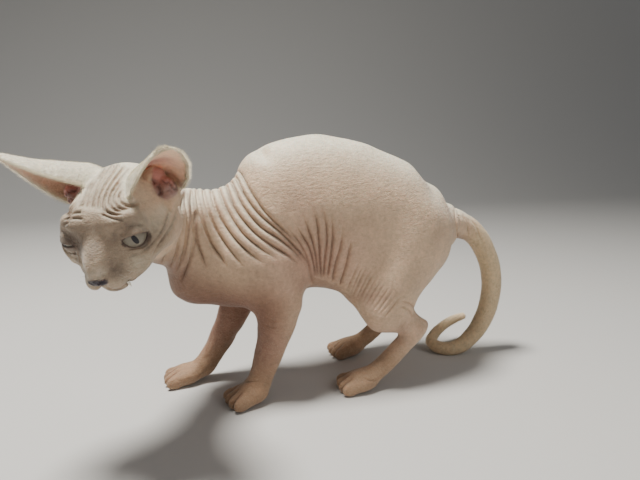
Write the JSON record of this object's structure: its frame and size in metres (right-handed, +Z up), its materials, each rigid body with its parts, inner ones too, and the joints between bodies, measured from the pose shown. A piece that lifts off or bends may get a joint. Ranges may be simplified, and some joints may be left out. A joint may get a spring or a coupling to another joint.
{
  "type": "sphynx cat",
  "caption": "Young hairless cat with wrinkled skin and large ears, hunched on four feet with its head turned and its tail curled on the floor; a still life-size model.",
  "frame": {"origin": "middle of the model's bounding box in plan, on the floor under the paws", "axes": "-X the way the trunk faces, -Y towards the cat's left side, +Z up"},
  "size_m": [0.3748, 0.1616, 0.1967],
  "materials": {
    "skin": "soft matt bare skin with a faint down, pale pinkish beige",
    "ear_skin": "thin bare skin, pink inside, with pale down on the back",
    "paw_skin": "matt skin with short down, brownish",
    "tail_skin": "matt skin with short lying fur, yellowish beige",
    "nose_leather": "fine grained, slightly moist, dark slate",
    "eye": "wet and glossy, pale grey-green",
    "claw": "satin horn",
    "hair": "fine pale down and whiskers"
  },
  "bodies": {
    "root": {"head": "skin", "neck": "skin", "trunk_front": "skin", "trunk_rear": "skin", "foreleg_left": "skin", "foreleg_right": "skin", "hindleg_left": "skin", "hindleg_right": "skin", "forepaw_left": "paw_skin", "forepaw_right": "paw_skin", "hindpaw_left": "paw_skin", "hindpaw_right": "paw_skin", "ear_left": "ear_skin", "ear_right": "ear_skin", "tail_base": "tail_skin", "tail_middle": "tail_skin", "tail_lower": "tail_skin", "tail_tip": "tail_skin", "eye_left": "eye", "eye_right": "eye", "nose": "nose_leather"}
  },
  "joints": []
}
